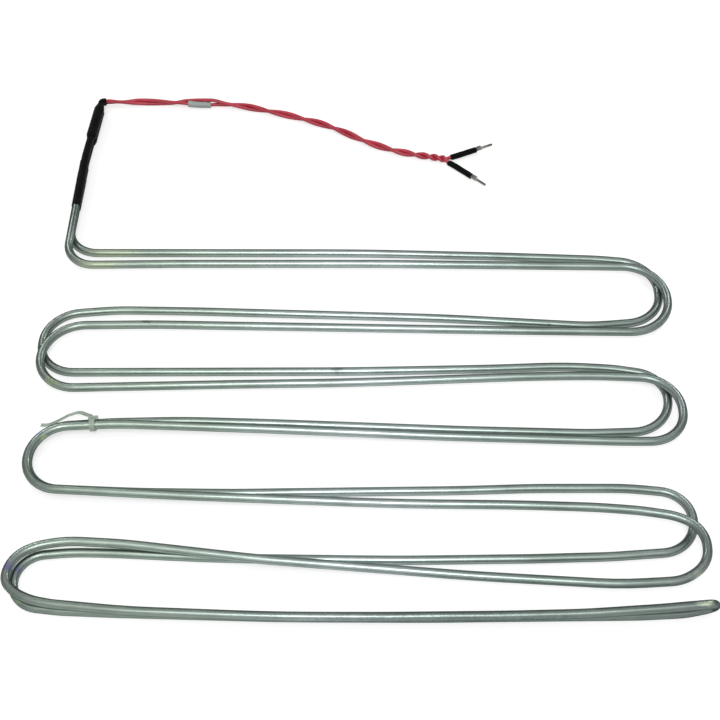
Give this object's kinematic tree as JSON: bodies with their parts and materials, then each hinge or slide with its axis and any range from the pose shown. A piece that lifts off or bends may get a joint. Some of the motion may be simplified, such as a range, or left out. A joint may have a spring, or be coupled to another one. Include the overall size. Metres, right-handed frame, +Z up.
{
  "type": "defrost heating element",
  "caption": "Aluminium tube heater, doubled and bent into a flat serpentine, with twisted red leads ending in crimped pins.",
  "frame": {"origin": "centre of the footprint of the element without its free leads, on the surface that it lies on", "axes": "+X along the rows towards the hairpin end, +Y across the rows towards the sleeves, +Z up from the surface"},
  "size_m": [0.4778, 0.4993, 0.0191],
  "materials": {
    "tube_aluminium": "satin drawn tube",
    "shrink_sleeve": "matte shrink sleeve",
    "lead_insulation": "satin, red",
    "marker_plastic": "matte, pale grey",
    "pin_metal": "tinned, dull",
    "tie_nylon": "translucent nylon",
    "cable_insulation": "matte silicone",
    "core_alloy": "resistance wire on its core",
    "splice_brass": "plain crimp barrel"
  },
  "bodies": {
    "root": {"element_tube": "tube_aluminium", "heating_insulation": "cable_insulation", "resistance_core": "core_alloy", "wire_marker": "marker_plastic", "cable_tie": "tie_nylon", "end_sleeve_a": "shrink_sleeve", "tail_sleeve_a": "shrink_sleeve", "splice_sleeve_a": "shrink_sleeve", "butt_splice_a": "splice_brass", "lead_wire_a": "lead_insulation", "terminal_sleeve_a": "shrink_sleeve", "pin_terminal_a": "pin_metal", "end_sleeve_b": "shrink_sleeve", "tail_sleeve_b": "shrink_sleeve", "splice_sleeve_b": "shrink_sleeve", "butt_splice_b": "splice_brass", "lead_wire_b": "lead_insulation", "terminal_sleeve_b": "shrink_sleeve", "pin_terminal_b": "pin_metal"}
  },
  "joints": []
}
